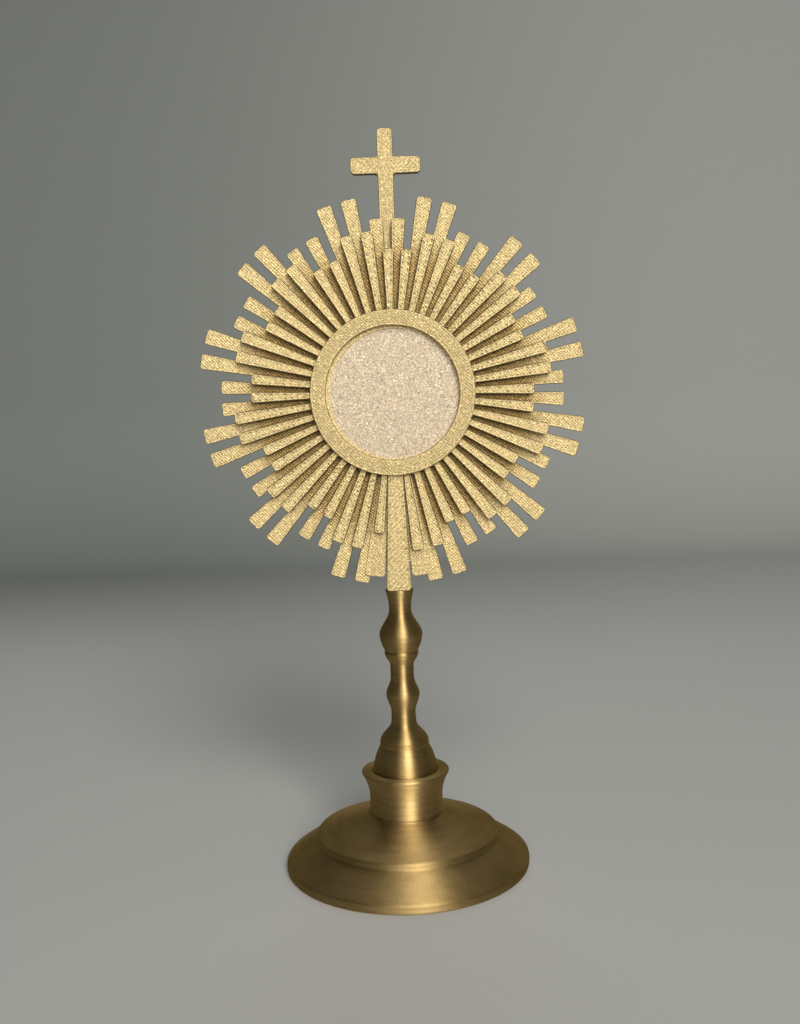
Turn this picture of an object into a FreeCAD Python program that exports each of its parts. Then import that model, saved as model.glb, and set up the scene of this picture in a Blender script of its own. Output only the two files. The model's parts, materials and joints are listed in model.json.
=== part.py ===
import FreeCAD, Part
import math
import os
import Sketcher

# Monstrance, millimetres. +Z is up, the front faces -Y, and the origin is the centre of the foot's
# underside. The head is a stack of flat layers; "level" names the distance of a layer's rear face
# from the stem's axis, negative towards the front.

Vector = FreeCAD.Vector
doc = FreeCAD.newDocument("Monstrance")

# ---------------------------------------------------------------- driving dimensions

SIZES = [
    # stand
    ("foot_radius", 24.4, "outside of the foot at the rim"),
    ("foot_band_height", 1.6, "upright band round the rim"),
    ("tier_radius", 18.25, "edge of the upper tier"),
    ("tier_level", 5.75, "top of the lower tier, where the upper tier's edge stands on it"),
    ("tier_edge", 1.2, "height of the upper tier's edge"),
    ("foot_height", 11.0, "top of the foot, where the neck begins"),
    ("neck_radius", 7.3, "neck between foot and collar"),
    ("collar_radius", 8.8, "lip of the collar"),
    ("collar_level", 19.1, "widest level of the lip"),
    ("bell_level", 19.4, "flat top of the collar, where the bell sits"),
    ("bell_radius", 6.42, "bell at the collar"),
    ("stem_level", 25.3, "seam between bell and stem"),
    ("stem_base_radius", 4.88, "stem and bell at their seam"),
    ("lower_waist_radius", 2.4, "waist above the flared base"),
    ("lower_knop_level", 34.8, "middle of the lower knop"),
    ("lower_knop_radius", 3.33, "lower knop"),
    ("middle_waist_radius", 2.33, "waist between the knops"),
    ("bead_level", 43.2, "bead under the upper knop"),
    ("bead_radius", 3.32, "bead under the upper knop"),
    ("upper_knop_level", 46.8, "middle of the upper knop"),
    ("upper_knop_radius", 4.28, "upper knop"),
    ("upper_waist_radius", 2.22, "waist under the stem's rim"),
    ("stem_height", 56.0, "top of the stem"),
    ("stem_rim_radius", 2.78, "rim at the stem's top"),
    ("groove_level", 0.9, "fine groove round the rim"),
    ("groove_width", 0.15, "half the groove"),
    ("groove_depth", 0.16, "groove"),
    ("bell_recess", 0.3, "recess in the collar that centres the bell"),
    ("rod_radius", 1.5, "M3 tie rod"),
    ("rod_bottom", 3.2, "lower end of the tie rod"),
    ("rod_top", 30.0, "upper end of the tie rod"),
    ("foot_web_level", 7.4, "underside of the web that the washer clamps"),
    ("washer_radius", 3.5, "M3 washer"),
    ("washer_thickness", 0.5, "M3 washer"),
    ("nut_flats", 5.5, "M3 nut across its flats"),
    ("nut_height", 2.4, "M3 nut"),
    ("pad_radius", 22.2, "felt pad"),
    ("pad_lift", 0.2, "gap under the felt, so that the brass rim takes the weight"),
    ("pad_thickness", 1.4, "felt pad"),
    ("pin_radius", 1.2, "pin between stem and tang"),
    ("pin_depth", 10.0, "pin in the stem"),
    ("pin_reach", 3.6, "pin in the tang's heel"),
    # head
    ("head_height", 94.5, "centre of the sunburst"),
    ("hub_bore", 15.3, "bore through the layers, round the lunette"),
    ("front_hub", 16.05, "hub of the front rays, where their slots begin"),
    ("brace_hub", 15.95, "hub of the brace plate"),
    ("back_hub", 21.0, "hub of the back rays"),
    ("front_long_ray", 30.85, "tip radius of the front plate's long rays"),
    ("front_short_ray", 27.3, "tip radius of the front plate's short rays"),
    ("back_long_ray", 37.6, "tip radius of the back plate's long rays"),
    ("back_short_ray", 33.25, "tip radius of the back plate's short rays"),
    ("brace_ray", 36.0, "tip radius of the brace rays"),
    ("front_ray_angle", 4.5, "angle that one front ray fills"),
    ("back_ray_angle", 4.75, "angle that one back ray fills"),
    ("brace_ray_angle", 6.6, "angle that one brace ray fills"),
    ("tip_round", 0.75, "corner radius of the tips"),
    ("layer", 1.4, "thickness of the front ray plate"),
    ("brace_layer", 0.4, "thickness of the brace plate"),
    ("back_layer", 2.0, "thickness of the back ray plate"),
    ("front_level", -1.4, "rear face of the front ray plate"),
    ("brace_level", -1.0, "rear face of the brace plate"),
    ("back_level", 1.0, "rear face of the back ray plate"),
    ("bezel_radius", 15.85, "outside of the bezel ring"),
    ("bezel_window", 12.85, "opening in the bezel ring"),
    ("bezel_thickness", 1.2, "bezel ring"),
    ("bezel_chamfer", 0.15, "chamfer round the window"),
    ("tang_top_width", 2.9, "tang at the bezel"),
    ("tang_bottom_width", 4.8, "tang at the stem"),
    ("tang_gap", 0.12, "gap between the tang and the front plate's hub"),
    ("heel_height", 4.5, "heel of the tang"),
    ("heel_back", 2.5, "rear face of the heel"),
    ("cross_height", 144.9, "top of the cross"),
    ("cross_arm_level", 137.95, "middle of the cross's arms"),
    ("cross_arm_span", 13.5, "tip to tip"),
    ("cross_arm_width", 3.15, "height of the arms"),
    ("cross_shaft_width", 3.0, "shaft"),
    ("cross_thickness", 1.6, "cross"),
    ("cross_round", 0.9, "corner radius of the cross's ends"),
    ("cross_inner_round", 0.6, "corner radius where shaft and arms meet"),
    # closure at the back
    ("housing_radius", 20.4, "housing ring"),
    ("housing_bore", 15.4, "opening in the housing ring"),
    ("housing_thickness", 1.4, "housing ring"),
    ("door_radius", 16.0, "door"),
    ("door_thickness", 1.2, "door"),
    ("door_gap", 0.05, "between door and housing"),
    ("cup_radius", 13.6, "wall on the door's inner side"),
    ("cup_wall", 1.2, "wall on the door's inner side"),
    ("lunette_radius", 14.6, "lunette ring"),
    ("lunette_window", 12.5, "opening in the lunette ring"),
    ("lunette_lip", 0.4, "the ring's lip in front of the host"),
    ("lunette_thickness", 1.0, "lunette ring"),
    ("lunette_shift", 0.35, "the lunette's play to the right of the head's centre"),
    ("lunette_drop", 0.15, "the lunette's play below the head's centre"),
    ("host_radius", 14.3, "host of 28.6 mm"),
    ("host_thickness", 0.6, "host"),
    ("host_gap", 0.1, "between host and bezel ring"),
    ("hinge_offset", 19.0, "hinge axis to the side of the head's centre"),
    ("hinge_pin_radius", 0.6, "hinge pin"),
    ("hinge_pin_length", 10.0, "hinge pin"),
    ("hinge_clearance", 0.05, "running clearance of the door's knuckle on the pin"),
    ("knuckle_radius", 1.3, "hinge knuckles"),
    ("door_knuckle_length", 3.2, "door's knuckle"),
    ("knuckle_gap", 0.15, "between neighbouring knuckles"),
    ("tab_width", 5.2, "tab opposite the hinge"),
    ("tab_reach", 19.6, "end of the tab from the head's centre"),
    ("magnet_radius", 1.5, "both magnets"),
    ("magnet_thickness", 0.8, "both magnets"),
    ("magnet_offset", 17.7, "magnets from the head's centre"),
    ("knob_radius", 1.5, "knob's head"),
    ("knob_height", 2.4, "knob"),
    ("screw_circle", 18.3, "screws from the head's centre"),
    ("screw_radius", 0.6, "screw thread"),
    ("screw_length", 2.8, "screw thread"),
    ("screw_head_radius", 1.2, "screw head"),
    ("screw_head_height", 0.8, "screw head"),
]

# Bulge of an arc as a share of its chord: positive to the left of the way that the outline runs,
# so outwards on an outline that runs down the outside, and inwards on one that runs up it.
ROUND = 0.2
FLARE = -0.2
SLIGHT_HOLLOW = -0.02
HOLLOW = 0.05
SWELL = -0.055

RAY_COUNT = 48
RAY_PITCH = 360.0 / RAY_COUNT
RAYS_IN_GROUP = 4
OVERLAP = 0.5
SLOT_SPREAD = 0.9
HOUSING_CLEARANCE = 0.4
RING_AXIS_TURN = FreeCAD.Rotation(Vector(1, 0, 0), -90)

sizes = doc.addObject("Spreadsheet::Sheet", "sizes")
for row, (alias, value, meaning) in enumerate(SIZES, start=1):
    sizes.set("A%d" % row, alias)
    sizes.set("B%d" % row, str(value))
    sizes.set("C%d" % row, meaning)
    sizes.setAlias("B%d" % row, alias)
doc.recompute()


def expression(text):
    """Turn a formula of plain size names into a FreeCAD expression on the sheet."""
    words = []
    word = ""
    for letter in text + " ":
        if letter.isalnum() or letter == "_" or letter == ".":
            word += letter
        else:
            words.append("sizes." + word if word in SIZE_NAMES else word)
            words.append(letter)
            word = ""
    return "".join(words).strip()


def size(text):
    """Value of a formula of size names, in millimetres."""
    value = sizes.evalExpression(expression(text))
    return float(getattr(value, "Value", value))


SIZE_NAMES = {alias for alias, value, meaning in SIZES}


def bind(thing, prop, text):
    thing.setExpression(prop, expression(text))


# ---------------------------------------------------------------- sketches


def plane_of(body, role):
    return next(item for item in body.Origin.OriginFeatures if item.Role == role)


def new_sketch(body, name, role="XZ_Plane"):
    sketch = body.newObject("Sketcher::SketchObject", name)
    sketch.AttachmentSupport = [(plane_of(body, role), "")]
    sketch.MapMode = "FlatFace"
    return sketch


def fix_point(sketch, edge, end, across, up):
    """Hold one end of an edge at the formulas across and up, measured from the sketch's origin."""
    for kind, axis, text in (("DistanceX", -2, across), ("DistanceY", -1, up)):
        value = size(text)
        if abs(value) < 1e-9:
            sketch.addConstraint(Sketcher.Constraint("PointOnObject", edge, end, axis))
        else:
            number = sketch.addConstraint(Sketcher.Constraint(kind, -1, 1, edge, end, value))
            bind(sketch, "Constraints[%d]" % number, text)


def eased_points(start, finish, count=9):
    """Points on a smooth rise from a waist to a knop: flat at both ends, steepest in the middle."""
    points = []
    for step in range(count):
        part = step / (count - 1.0)
        share = (1.0 - math.cos(math.pi * part)) / 2.0
        radius = start[0] + (finish[0] - start[0]) * share
        level = start[1] + (finish[1] - start[1]) * part
        points.append(Vector(radius, level, 0))
    return points


def add_outline(sketch, corners):
    """Closed outline through corners (across, up, way), where way is the edge that leads on:
    "line", "ease" for a baluster curve along the axis, or an arc's bulge as a share of its chord."""
    places = [(size(across), size(up)) for across, up, way in corners]
    edges = []
    for number, (across, up, way) in enumerate(corners):
        start = places[number]
        finish = places[(number + 1) % len(places)]
        first = Vector(start[0], start[1], 0)
        last = Vector(finish[0], finish[1], 0)
        if way == "line":
            curve = Part.LineSegment(first, last)
        elif way == "ease":
            curve = Part.BSplineCurve()
            curve.interpolate(eased_points(start, finish), False)
        else:
            chord = last - first
            middle = (first + last) * 0.5 + Vector(-chord.y, chord.x, 0) * way
            curve = Part.Arc(first, middle, last)
        edges.append(sketch.addGeometry(curve, False))
    for number, edge in enumerate(edges):
        following = edges[(number + 1) % len(edges)]
        # An arc runs anticlockwise whichever way it was drawn, so its ends may be swapped.
        start, finish = ends_of(sketch, edge, places[number])
        next_start = ends_of(sketch, following, places[(number + 1) % len(places)])[0]
        sketch.addConstraint(Sketcher.Constraint("Coincident", edge, finish, following, next_start))
        fix_point(sketch, edge, start, corners[number][0], corners[number][1])
    return edges


def ends_of(sketch, edge, start):
    point = sketch.getPoint(edge, 1)
    if math.hypot(point.x - start[0], point.y - start[1]) < 1e-6:
        return 1, 2
    return 2, 1


def add_circle(sketch, radius, across="0", up="0"):
    centre = Vector(size(across), size(up), 0)
    edge = sketch.addGeometry(Part.Circle(centre, Vector(0, 0, 1), size(radius)), False)
    number = sketch.addConstraint(Sketcher.Constraint("Radius", edge, size(radius)))
    bind(sketch, "Constraints[%d]" % number, radius)
    fix_point(sketch, edge, 3, across, up)


def add_rounded(sketch, corners):
    """Closed outline of straight edges through corners (x, y, radius), each corner rounded."""
    count = len(corners)
    entries = []
    for number in range(count):
        x, y, radius = corners[number]
        here = Vector(x, y, 0)
        before = Vector(corners[number - 1][0], corners[number - 1][1], 0)
        after = Vector(corners[(number + 1) % count][0], corners[(number + 1) % count][1], 0)
        into = (before - here).normalize()
        out = (after - here).normalize()
        if radius == 0:
            entries.append((here, here, here))
            continue
        half = into.getAngle(out) / 2.0
        cut = radius / math.tan(half)
        bisector = (into + out).normalize()
        middle = here + bisector * (radius / math.sin(half) - radius)
        entries.append((here + into * cut, middle, here + out * cut))
    for number in range(count):
        start, middle, finish = entries[number]
        if (finish - start).Length > 1e-9:
            sketch.addGeometry(Part.Arc(start, middle, finish), False)
        sketch.addGeometry(Part.LineSegment(finish, entries[(number + 1) % count][0]), False)


# ---------------------------------------------------------------- features and placing


def new_body(name, rear="0", height="0"):
    body = doc.addObject("PartDesign::Body", name)
    body.Label = name
    place(body, "0", rear, height)
    return body


def place(thing, across, back, up):
    for axis, text in (("x", across), ("y", back), ("z", up)):
        bind(thing, ".Placement.Base." + axis, text)


def pad(body, sketch, length, name, to_back=False):
    """Pad a sketch on the XZ plane towards the front, or towards the back."""
    feature = body.newObject("PartDesign::Pad", name)
    feature.Profile = sketch
    feature.Reversed = to_back
    bind(feature, "Length", length)
    return feature


def pocket(body, sketch, length, name, to_front=False):
    feature = body.newObject("PartDesign::Pocket", name)
    feature.Profile = sketch
    feature.Reversed = to_front
    bind(feature, "Length", length)
    return feature


def turned(name, corners):
    """Lathe-turned piece: an outline of (radius, level) revolved about the vertical axis."""
    body = new_body(name)
    sketch = new_sketch(body, name + "_profile")
    add_outline(sketch, corners)
    feature = body.newObject("PartDesign::Revolution", name + "_turning")
    feature.Profile = sketch
    feature.ReferenceAxis = (sketch, ["V_Axis"])
    feature.Angle = 360
    return body


def ring_turned(name, corners):
    """Ring of the head: an outline of (radius, depth) revolved about the head's own axis."""
    body = new_body(name, "0", "head_height")
    sketch = new_sketch(body, name + "_profile", "XY_Plane")
    add_outline(sketch, corners)
    feature = body.newObject("PartDesign::Revolution", name + "_turning")
    feature.Profile = sketch
    feature.ReferenceAxis = (sketch, ["V_Axis"])
    feature.Angle = 360
    return body


def cylinder(name, radius, length, across, back, up, upright=True):
    """Cylinder standing upright, or running backwards from its centre when it isn't upright."""
    item = doc.addObject("Part::Cylinder", name)
    item.Placement = FreeCAD.Placement(Vector(), FreeCAD.Rotation() if upright else RING_AXIS_TURN)
    bind(item, "Radius", radius)
    bind(item, "Height", length)
    place(item, across, back, up)
    return item


def box(name, length, width, height, across, back, up):
    item = doc.addObject("Part::Box", name)
    bind(item, "Length", length)
    bind(item, "Width", width)
    bind(item, "Height", height)
    place(item, across, back, up)
    return item


def fuse(name, shapes):
    item = doc.addObject("Part::MultiFuse", name)
    item.Shapes = shapes
    item.Refine = True
    return item


def cut(name, base, tools):
    item = doc.addObject("Part::Cut", name)
    item.Base = base
    item.Tool = tools[0] if len(tools) == 1 else fuse(name + "_cutters", tools)
    item.Refine = True
    return item


# ---------------------------------------------------------------- stand


def make_foot():
    """Two-tier foot, hollow underneath, with a web that the washer clamps."""
    return turned("foot", [
        ("rod_radius", "foot_web_level", "line"),
        ("rod_radius", "foot_height", "line"),
        ("neck_radius", "foot_height", "line"),
        ("neck_radius", "foot_height - 0.1", FLARE),
        ("neck_radius + 0.75", "foot_height - 0.55", SLIGHT_HOLLOW),
        ("tier_radius - 0.55", "tier_level + tier_edge + 0.2", ROUND),
        ("tier_radius", "tier_level + tier_edge - 0.25", "line"),
        ("tier_radius", "tier_level + 0.3", FLARE),
        ("tier_radius + 0.3", "tier_level", "line"),
        ("foot_radius - 0.25", "foot_band_height + 0.4", ROUND),
        ("foot_radius", "foot_band_height", "line"),
        ("foot_radius", "groove_level + groove_width", "line"),
        ("foot_radius - groove_depth", "groove_level", "line"),
        ("foot_radius - 0.05", "groove_level - groove_width", ROUND),
        ("foot_radius - 0.3", "0", "line"),
        ("pad_radius + 0.2", "0", "line"),
        ("pad_radius + 0.2", "pad_lift + pad_thickness", "line"),
        ("tier_radius - 1.4", "tier_level - 1.6", "line"),
        ("washer_radius + 1", "foot_web_level", "line"),
    ])


def make_neck_collar():
    """Straight neck that flares into the lip, with a shallow recess that centres the bell."""
    return turned("neck_collar", [
        ("rod_radius", "foot_height", "line"),
        ("neck_radius", "foot_height", "line"),
        ("neck_radius", "foot_height + 3.9", HOLLOW),
        ("collar_radius - 0.15", "collar_level - 0.3", -ROUND),
        ("collar_radius - 0.1", "collar_level + 0.15", -ROUND),
        ("collar_radius - 0.35", "bell_level", "line"),
        ("bell_radius + 0.3", "bell_level", "line"),
        ("bell_radius + 0.08", "bell_level - bell_recess", "line"),
        ("rod_radius", "bell_level - bell_recess", "line"),
    ])


def make_stem_bell():
    """Cone between collar and stem, swelling slightly, with an upright band at its top."""
    return turned("stem_bell", [
        ("rod_radius", "bell_level - bell_recess", "line"),
        ("bell_radius - 0.2", "bell_level - bell_recess", -ROUND),
        ("bell_radius", "bell_level + 0.1", SWELL),
        ("stem_base_radius", "stem_level - 0.9", "line"),
        ("stem_base_radius", "stem_level - 0.06", "line"),
        ("stem_base_radius - 0.08", "stem_level", "line"),
        ("rod_radius", "stem_level", "line"),
    ])


def make_stem():
    """Baluster: flared base, lower knop, bead, upper knop and a flared rim."""
    return turned("stem", [
        ("rod_radius", "stem_level", "line"),
        ("stem_base_radius - 0.05", "stem_level", "ease"),
        ("lower_waist_radius + 0.1", "stem_level + 4", "line"),
        ("lower_waist_radius", "lower_knop_level - 3.6", "ease"),
        ("lower_knop_radius", "lower_knop_level", "ease"),
        ("middle_waist_radius", "lower_knop_level + 3.4", "line"),
        ("middle_waist_radius", "bead_level - 2.4", "ease"),
        ("bead_radius - 0.1", "bead_level - 0.45", -ROUND),
        ("bead_radius - 0.05", "bead_level + 0.3", "line"),
        ("bead_radius - 0.1", "bead_level + 0.4", SWELL),
        ("upper_knop_radius", "upper_knop_level", "ease"),
        ("upper_waist_radius", "upper_knop_level + 5", HOLLOW),
        ("stem_rim_radius", "stem_height - 0.35", -ROUND),
        ("stem_rim_radius - 0.12", "stem_height", "line"),
        ("pin_radius", "stem_height", "line"),
        ("pin_radius", "stem_height - pin_depth", "line"),
        ("0", "stem_height - pin_depth", "line"),
        ("0", "rod_top", "line"),
        ("rod_radius", "rod_top", "line"),
    ])


def make_nut():
    body = new_body("nut", "0", "foot_web_level - washer_thickness - nut_height")
    sketch = new_sketch(body, "nut_outline", "XY_Plane")
    corner = size("nut_flats / sqrt(3)")
    points = [(corner * math.cos(math.radians(60 * side)), corner * math.sin(math.radians(60 * side)), 0)
              for side in range(6)]
    add_rounded(sketch, points)
    add_circle(sketch, "rod_radius")
    pad(body, sketch, "nut_height", "nut_block")
    return body


def make_stand():
    level = "foot_web_level - washer_thickness"
    blank = cylinder("washer_blank", "washer_radius", "washer_thickness", "0", "0", level)
    hole = cylinder("washer_hole", "rod_radius", "washer_thickness", "0", "0", level)
    return [
        make_foot(),
        make_neck_collar(),
        make_stem_bell(),
        make_stem(),
        cylinder("tie_rod", "rod_radius", "rod_top - rod_bottom", "0", "0", "rod_bottom"),
        cut("washer", blank, [hole]),
        make_nut(),
        cylinder("base_pad", "pad_radius", "pad_thickness", "0", "0", "pad_lift"),
        cylinder("head_pin", "pin_radius", "pin_depth + pin_reach", "0", "0", "stem_height - pin_depth"),
    ]


# ---------------------------------------------------------------- rays


def ray_corners(turn, tip, root, angle):
    """Wedge that points turn degrees clockwise from the top, rounded at its tip."""
    half = math.radians(angle) / 2.0
    corner = size("tip_round")
    corners = []
    for reach, side, rounding in ((root, -half, 0), (tip, -half, corner), (tip, half, corner), (root, half, 0)):
        along = reach
        aside = reach * math.tan(side)
        bearing = math.radians(turn)
        x = along * math.sin(bearing) + aside * math.cos(bearing)
        y = along * math.cos(bearing) - aside * math.sin(bearing)
        corners.append((x, y, rounding))
    return corners


def add_hub(body, name, outer, thickness):
    hub = new_sketch(body, name + "_hub")
    add_circle(hub, outer)
    add_circle(hub, "hub_bore")
    return pad(body, hub, thickness, name + "_hub_pad")


def ray_plate(name, level, thickness, hub_radius, angle, tips, first_turn):
    """Hub with 48 rays: one group of four, two tips long and two short, repeated round the head."""
    body = new_body(name, level, "head_height")
    add_hub(body, name, hub_radius, thickness)
    rays = new_sketch(body, name + "_rays")
    for number in range(RAYS_IN_GROUP):
        turn = first_turn + number * RAY_PITCH
        add_rounded(rays, ray_corners(turn, size(tips[number]), size(hub_radius) - OVERLAP, size(angle)))
    group = pad(body, rays, thickness, name + "_group")
    doc.recompute()
    pattern = body.newObject("PartDesign::PolarPattern", name + "_round")
    pattern.Originals = [group]
    pattern.Axis = (rays, ["N_Axis"])
    pattern.Angle = 360
    pattern.Occurrences = RAY_COUNT // RAYS_IN_GROUP
    body.Tip = pattern
    return body


def make_front_ray_plate():
    """Rays on whole steps from the top; the one at the bottom makes way for the tang."""
    tips = ["front_short_ray", "front_short_ray", "front_long_ray", "front_long_ray"]
    body = ray_plate("front_ray_plate", "front_level", "layer", "front_hub", "front_ray_angle", tips, 0.0)
    doc.recompute()
    before = body.Shape.Volume
    slot = new_sketch(body, "tang_slot")
    reach = size("front_long_ray + 1")
    inner = size("tang_top_width / 2 + tang_gap")
    outer = inner + SLOT_SPREAD
    add_rounded(slot, [(-inner, -size("hub_bore") + 1, 0), (-outer, -reach, 0), (outer, -reach, 0),
                       (inner, -size("hub_bore") + 1, 0)])
    cutter = pocket(body, slot, "layer", "tang_slot_cut", to_front=True)
    body.Tip = cutter
    doc.recompute()
    assert body.Shape.Volume < before - 1.0
    return body


def make_back_ray_plate():
    """Rays half a pitch off the front plate's, drilled for the housing's screws."""
    tips = ["back_short_ray", "back_long_ray", "back_long_ray", "back_short_ray"]
    body = ray_plate("back_ray_plate", "back_level", "back_layer", "back_hub", "back_ray_angle", tips,
                     RAY_PITCH / 2.0)
    doc.recompute()
    before = body.Shape.Volume
    holes = new_sketch(body, "screw_holes")
    for across, up in screw_places():
        add_circle(holes, "screw_radius", across, up)
    body.Tip = pocket(body, holes, "back_layer", "screw_hole_cut", to_front=True)
    doc.recompute()
    assert body.Shape.Volume < before - 1.0
    return body


def screw_places():
    """Four screws on the diagonals, as formulas from the head's centre."""
    reach = "screw_circle * sqrt(0.5)"
    return [(reach, reach), ("0 - " + reach, reach), ("0 - " + reach, "0 - " + reach), (reach, "0 - " + reach)]


def make_brace_plate():
    """Hub ring with the two wide rays beside the tang."""
    body = new_body("brace_plate", "brace_level", "head_height")
    add_hub(body, "brace", "brace_hub", "brace_layer")
    rays = new_sketch(body, "brace_rays")
    for turn in (180 - RAY_PITCH, 180 + RAY_PITCH):
        root = size("brace_hub") - OVERLAP
        add_rounded(rays, ray_corners(turn, size("brace_ray"), root, size("brace_ray_angle")))
    pad(body, rays, "brace_layer", "brace_rays_pad")
    return body


# ---------------------------------------------------------------- tang, cross and bezel


def make_tang():
    """Tapered bar in the plane of the front rays, with a heel that stands on the stem."""
    body = new_body("tang", "front_level", "stem_height")
    top = size("head_height - hub_bore - 0.1 - stem_height")
    wide = size("tang_bottom_width") / 2.0
    narrow = size("tang_top_width") / 2.0
    corner = size("tip_round")
    bar = new_sketch(body, "tang_bar")
    add_rounded(bar, [(-wide, 0, corner), (wide, 0, corner), (narrow, top, 0), (-narrow, top, 0)])
    pad(body, bar, "layer", "tang_bar_pad")
    heel = new_sketch(body, "tang_heel")
    side = wide - 0.1
    rise = size("heel_height")
    add_rounded(heel, [(-side, 0, corner), (side, 0, corner), (side, rise, corner), (-side, rise, corner)])
    pad(body, heel, "heel_back - front_level", "tang_heel_pad", to_back=True)
    doc.recompute()
    before = body.Shape.Volume
    hole = new_sketch(body, "tang_hole", "XY_Plane")
    add_circle(hole, "pin_radius", "0", "0 - front_level")
    cutter = pocket(body, hole, "pin_reach", "tang_hole_cut", to_front=True)
    body.Tip = cutter
    doc.recompute()
    assert body.Shape.Volume < before - 1.0
    return body


def make_cross():
    """Latin cross; its shaft runs down behind the back plate to the housing."""
    body = new_body("cross", "back_level + cross_thickness", "head_height")
    outline = new_sketch(body, "cross_outline")
    top = size("cross_height - head_height")
    root = size("housing_radius") + HOUSING_CLEARANCE
    arm = size("cross_arm_level - head_height")
    arm_half = size("cross_arm_width / 2")
    span = size("cross_arm_span / 2")
    shaft = size("cross_shaft_width / 2")
    corner = size("cross_round")
    inner = size("cross_inner_round")
    right = [(shaft, root, 0), (shaft, arm - arm_half, inner), (span, arm - arm_half, corner),
             (span, arm + arm_half, corner), (shaft, arm + arm_half, inner), (shaft, top, corner)]
    left = [(-x, y, rounding) for x, y, rounding in reversed(right)]
    add_rounded(outline, right + left)
    pad(body, outline, "cross_thickness", "cross_pad")
    return body


def make_bezel_ring():
    """Ring on the front plate's hub, chamfered round the window."""
    face = "front_level - layer"
    front = face + " - bezel_thickness"
    return ring_turned("bezel_ring", [
        ("bezel_window", face, "line"),
        ("bezel_window", front + " + bezel_chamfer", "line"),
        ("bezel_window + bezel_chamfer * 0.7", front, "line"),
        ("bezel_radius - 0.25", front, -ROUND),
        ("bezel_radius", front + " + 0.25", "line"),
        ("bezel_radius", face, "line"),
    ])


# ---------------------------------------------------------------- host, lunette and rear closure


def make_host_disc():
    level = "front_level - layer + host_gap + lunette_lip"
    return cylinder("host_disc", "host_radius", "host_thickness", "lunette_shift", level,
                    "head_height - lunette_drop", upright=False)


def make_lunette_ring():
    """Ring whose lip holds the host from the front, with a thin wall round the host's rim."""
    front = "front_level - layer + host_gap"
    back = front + " + lunette_thickness"
    body = ring_turned("lunette_ring", [
        ("lunette_window", front, "line"),
        ("lunette_radius", front, "line"),
        ("lunette_radius", back, "line"),
        ("host_radius + 0.02", back, "line"),
        ("host_radius + 0.02", front + " + lunette_lip", "line"),
        ("lunette_window", front + " + lunette_lip", "line"),
    ])
    place(body, "lunette_shift", "0", "head_height - lunette_drop")
    return body


def make_rear_housing():
    """Ring behind the back plate with the hinge's two outer knuckles and a seat for its magnet."""
    face = "back_level + housing_thickness"
    half_gap = "door_knuckle_length / 2 + knuckle_gap"
    half_pin = "hinge_pin_length / 2"
    knuckle_length = half_pin + " - (" + half_gap + ")"
    upper = "head_height + " + half_gap
    lower = "head_height - " + half_pin
    ring = cylinder("housing_ring", "housing_radius", "housing_thickness", "0", "back_level", "head_height", False)
    bore = cylinder("housing_opening", "housing_bore", "housing_thickness", "0", "back_level", "head_height", False)
    notch = box("housing_notch", "6", "housing_thickness", "2 * (" + half_gap + ")",
                "hinge_offset - knuckle_radius - %s" % HOUSING_CLEARANCE, "back_level", "head_height - (" + half_gap + ")")
    relief = box("housing_relief", "3", "housing_thickness", "hinge_pin_length + 0.1",
                 "hinge_offset + 0.6", "back_level", lower + " - 0.05")
    seat = cylinder("housing_magnet_seat", "magnet_radius", "magnet_thickness", "0 - magnet_offset",
                    face + " - magnet_thickness", "head_height", False)
    holes = [cylinder("housing_screw_hole_%d" % number, "screw_radius + 0.1", "housing_thickness",
                      across, "back_level", "head_height + " + up, False)
             for number, (across, up) in enumerate(screw_places(), start=1)]
    plate = cut("housing_plate", ring, [bore, notch, relief, seat] + holes)
    knuckles = []
    for number, start in enumerate((lower, upper), start=1):
        knuckles.append(cylinder("housing_knuckle_%d" % number, "knuckle_radius", knuckle_length,
                                 "hinge_offset", face, start))
    solid = fuse("housing_solid", [plate] + knuckles)
    pin_bore = cylinder("housing_pin_bore", "hinge_pin_radius", "hinge_pin_length", "hinge_offset", face, lower)
    return cut("rear_housing", solid, [pin_bore])


def make_rear_door():
    """Round door with the hinge's middle knuckle, a tab for the magnet and a cup for the lunette."""
    face = "back_level + housing_thickness"
    inside = face + " + door_gap"
    lunette_back = "front_level - layer + host_gap + lunette_thickness"
    cup_length = inside + " - (" + lunette_back + ")"
    half = "door_knuckle_length / 2"
    plate = cylinder("door_plate", "door_radius", "door_thickness", "0", inside, "head_height", False)
    cup = cylinder("door_cup", "cup_radius", cup_length, "0", lunette_back, "head_height", False)
    cup_inside = cylinder("door_cup_inside", "cup_radius - cup_wall", cup_length, "0", lunette_back,
                          "head_height", False)
    arm = box("door_arm", "hinge_offset - door_radius + 1", "door_thickness", "door_knuckle_length",
              "door_radius - 1", inside, "head_height - " + half)
    knuckle = cylinder("door_knuckle", "knuckle_radius", "door_knuckle_length", "hinge_offset", face,
                       "head_height - " + half)
    tab = box("door_tab", "tab_reach - door_radius + 1", "door_thickness", "tab_width",
              "0 - tab_reach", inside, "head_height - tab_width / 2")
    solid = fuse("door_solid", [plate, cup, arm, knuckle, tab])
    pin_bore = cylinder("door_pin_bore", "hinge_pin_radius + hinge_clearance", "door_knuckle_length",
                        "hinge_offset", face, "head_height - " + half)
    seat = cylinder("door_magnet_seat", "magnet_radius", "magnet_thickness", "0 - magnet_offset", inside,
                    "head_height", False)
    return cut("rear_door", solid, [cup_inside, pin_bore, seat])


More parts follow.
